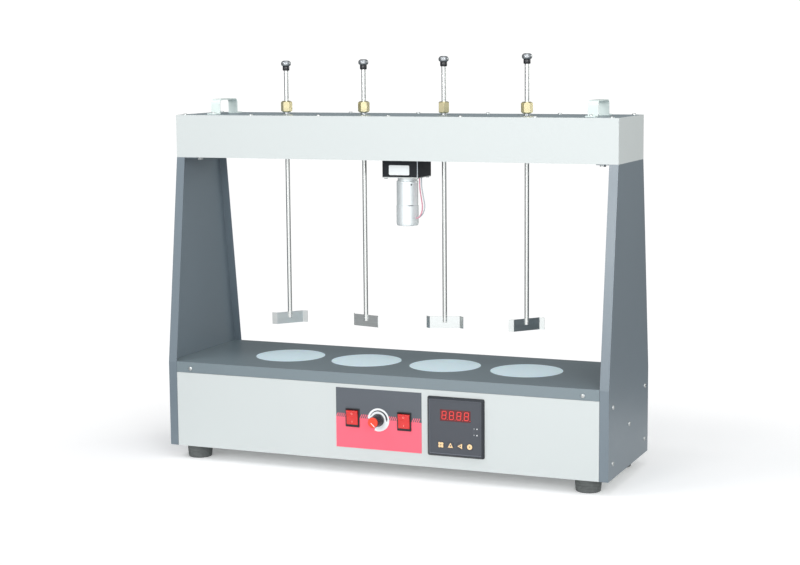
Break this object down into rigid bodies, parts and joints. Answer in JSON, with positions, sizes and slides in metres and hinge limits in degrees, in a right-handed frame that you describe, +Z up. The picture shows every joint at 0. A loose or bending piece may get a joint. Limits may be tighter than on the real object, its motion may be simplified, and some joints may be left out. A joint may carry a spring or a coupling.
{
  "type": "jar tester",
  "caption": "Bench jar tester: a lit deck between two side panels, with a geared head that turns a row of height-adjustable paddle stirrers.",
  "frame": {"origin": "middle of the footprint, on the bench under the feet", "axes": "+X along the row of stirrers to the operator's right, +Y away from the operator, +Z up"},
  "size_m": [0.7844, 0.2875, 0.688],
  "materials": {
    "light_paint": "powder coat, satin",
    "dark_paint": "powder coat, satin",
    "deck_paint": "powder coat, satin",
    "cover_paint": "powder coat, satin",
    "handle_paint": "powder coat, satin",
    "gearbox_paint": "semi-gloss",
    "opal_acrylic": "frosted",
    "lamp_glass": "opal glass",
    "white_plastic": "matt",
    "cast_alloy": "machined",
    "zinc_steel": "bright zinc",
    "turned_steel": "turned",
    "stainless": "polished",
    "motor_alloy": "satin plated",
    "lead_insulation": "PVC",
    "gear_nylon": "moulded",
    "overlay_film": "satin film",
    "black_plastic": "moulded",
    "red_plastic": "translucent",
    "board_green": "lacquered",
    "meter_plastic": "fine texture",
    "foot_rubber": "moulded",
    "nut_brass": "turned",
    "cap_chrome": "plated",
    "key_rubber": "soft touch"
  },
  "bodies": {
    "cabinet": {"base_tray": "light_paint", "front_panel": "light_paint", "deck_cover": "deck_paint", "side_panel_left": "dark_paint", "side_panel_right": "dark_paint", "light_windows": "opal_acrylic", "lamp_tube": "lamp_glass", "lamp_holders": "white_plastic", "head_shell": "light_paint", "head_cover": "cover_paint", "carry_handles": "handle_paint", "bearing_housings": "cast_alloy", "housing_bolts": "zinc_steel", "idler_studs": "turned_steel", "gearbox_case": "gearbox_paint", "gearbox_plate": "zinc_steel", "motor_can": "motor_alloy", "motor_leads": "lead_insulation", "control_overlay": "overlay_film", "switch_housings": "black_plastic", "speed_control": "board_green", "meter_case": "meter_plastic", "rubber_feet": "foot_rubber", "case_screws": "zinc_steel", "power_gland": "black_plastic"},
    "drive": {"drive_gear": "gear_nylon", "output_shaft": "turned_steel"},
    "idler_1": {"idler_gear_1": "gear_nylon"},
    "idler_2": {"idler_gear_2": "gear_nylon"},
    "left_rocker": {"rocker_left": "red_plastic"},
    "right_rocker": {"rocker_right": "red_plastic"},
    "knob": {"speed_knob": "black_plastic"},
    "spindle_unit_1": {"spindle_1": "turned_steel", "spindle_gear_1": "gear_nylon"},
    "nut_1": {"collet_nut_1": "nut_brass"},
    "stirrer_1": {"stirrer_rod_1": "stainless", "paddle_1": "stainless", "rod_cap_1": "cap_chrome"},
    "spindle_unit_2": {"spindle_2": "turned_steel", "spindle_gear_2": "gear_nylon"},
    "nut_2": {"collet_nut_2": "nut_brass"},
    "stirrer_2": {"stirrer_rod_2": "stainless", "paddle_2": "stainless", "rod_cap_2": "cap_chrome"},
    "spindle_unit_3": {"spindle_3": "turned_steel", "spindle_gear_3": "gear_nylon"},
    "nut_3": {"collet_nut_3": "nut_brass"},
    "stirrer_3": {"stirrer_rod_3": "stainless", "paddle_3": "stainless", "rod_cap_3": "cap_chrome"},
    "spindle_unit_4": {"spindle_4": "turned_steel", "spindle_gear_4": "gear_nylon"},
    "nut_4": {"collet_nut_4": "nut_brass"},
    "stirrer_4": {"stirrer_rod_4": "stainless", "paddle_4": "stainless", "rod_cap_4": "cap_chrome"},
    "key_1": {"meter_key_1": "key_rubber"},
    "key_2": {"meter_key_2": "key_rubber"},
    "key_3": {"meter_key_3": "key_rubber"},
    "key_4": {"meter_key_4": "key_rubber"}
  },
  "joints": [
    {"name": "drive_spin", "type": "hinge", "parent": "cabinet", "child": "drive", "pos_m": [0, 0, 0.537], "axis": [0, 0, 1], "continuous": true},
    {"name": "idler_1_spin", "type": "hinge", "parent": "cabinet", "child": "idler_1", "pos_m": [-0.144, 0, 0.537], "axis": [0, 0, 1], "continuous": true},
    {"name": "idler_2_spin", "type": "hinge", "parent": "cabinet", "child": "idler_2", "pos_m": [0.144, 0, 0.537], "axis": [0, 0, 1], "continuous": true},
    {"name": "spindle_1_spin", "type": "hinge", "parent": "cabinet", "child": "spindle_unit_1", "pos_m": [-0.216, 0, 0.537], "axis": [0, 0, 1], "continuous": true},
    {"name": "nut_1_turn", "type": "hinge", "parent": "spindle_unit_1", "child": "nut_1", "pos_m": [-0.216, 0, 0.597], "axis": [0, 0, 1], "range_deg": [0, 180]},
    {"name": "stirrer_1_slide", "type": "slide", "parent": "spindle_unit_1", "child": "stirrer_1", "axis": [0, 0, 1], "range_m": [-0.05, 0.25]},
    {"name": "spindle_2_spin", "type": "hinge", "parent": "cabinet", "child": "spindle_unit_2", "pos_m": [-0.072, 0, 0.537], "axis": [0, 0, 1], "continuous": true},
    {"name": "nut_2_turn", "type": "hinge", "parent": "spindle_unit_2", "child": "nut_2", "pos_m": [-0.072, 0, 0.597], "axis": [0, 0, 1], "range_deg": [0, 180]},
    {"name": "stirrer_2_slide", "type": "slide", "parent": "spindle_unit_2", "child": "stirrer_2", "axis": [0, 0, 1], "range_m": [-0.05, 0.25]},
    {"name": "spindle_3_spin", "type": "hinge", "parent": "cabinet", "child": "spindle_unit_3", "pos_m": [0.072, 0, 0.537], "axis": [0, 0, 1], "continuous": true},
    {"name": "nut_3_turn", "type": "hinge", "parent": "spindle_unit_3", "child": "nut_3", "pos_m": [0.072, 0, 0.597], "axis": [0, 0, 1], "range_deg": [0, 180]},
    {"name": "stirrer_3_slide", "type": "slide", "parent": "spindle_unit_3", "child": "stirrer_3", "axis": [0, 0, 1], "range_m": [-0.05, 0.25]},
    {"name": "spindle_4_spin", "type": "hinge", "parent": "cabinet", "child": "spindle_unit_4", "pos_m": [0.216, 0, 0.537], "axis": [0, 0, 1], "continuous": true},
    {"name": "nut_4_turn", "type": "hinge", "parent": "spindle_unit_4", "child": "nut_4", "pos_m": [0.216, 0, 0.597], "axis": [0, 0, 1], "range_deg": [0, 180]},
    {"name": "stirrer_4_slide", "type": "slide", "parent": "spindle_unit_4", "child": "stirrer_4", "axis": [0, 0, 1], "range_m": [-0.05, 0.25]},
    {"name": "left_rocker_tilt", "type": "hinge", "parent": "cabinet", "child": "left_rocker", "pos_m": [-0.045, -0.1187, 0.0962], "axis": [1, 0, 0], "range_deg": [-12, 0]},
    {"name": "right_rocker_tilt", "type": "hinge", "parent": "cabinet", "child": "right_rocker", "pos_m": [0.047, -0.1187, 0.0962], "axis": [1, 0, 0], "range_deg": [-12, 0]},
    {"name": "knob_turn", "type": "hinge", "parent": "cabinet", "child": "knob", "pos_m": [0.001, -0.13, 0.0944], "axis": [0, -1, 0], "range_deg": [0, 290]},
    {"name": "key_1_press", "type": "slide", "parent": "cabinet", "child": "key_1", "axis": [0, 1, 0], "range_m": [0, 0.0008], "stiffness_N_per_m": 300, "springref_m": -0.001},
    {"name": "key_2_press", "type": "slide", "parent": "cabinet", "child": "key_2", "axis": [0, 1, 0], "range_m": [0, 0.0008], "stiffness_N_per_m": 300, "springref_m": -0.001},
    {"name": "key_3_press", "type": "slide", "parent": "cabinet", "child": "key_3", "axis": [0, 1, 0], "range_m": [0, 0.0008], "stiffness_N_per_m": 300, "springref_m": -0.001},
    {"name": "key_4_press", "type": "slide", "parent": "cabinet", "child": "key_4", "axis": [0, 1, 0], "range_m": [0, 0.0008], "stiffness_N_per_m": 300, "springref_m": -0.001}
  ],
  "couplings": [
    {"joint": "idler_1_spin", "follows": "drive_spin", "ratio": 1},
    {"joint": "idler_2_spin", "follows": "drive_spin", "ratio": 1},
    {"joint": "spindle_1_spin", "follows": "drive_spin", "ratio": -1},
    {"joint": "spindle_2_spin", "follows": "drive_spin", "ratio": -1},
    {"joint": "spindle_3_spin", "follows": "drive_spin", "ratio": -1},
    {"joint": "spindle_4_spin", "follows": "drive_spin", "ratio": -1}
  ]
}
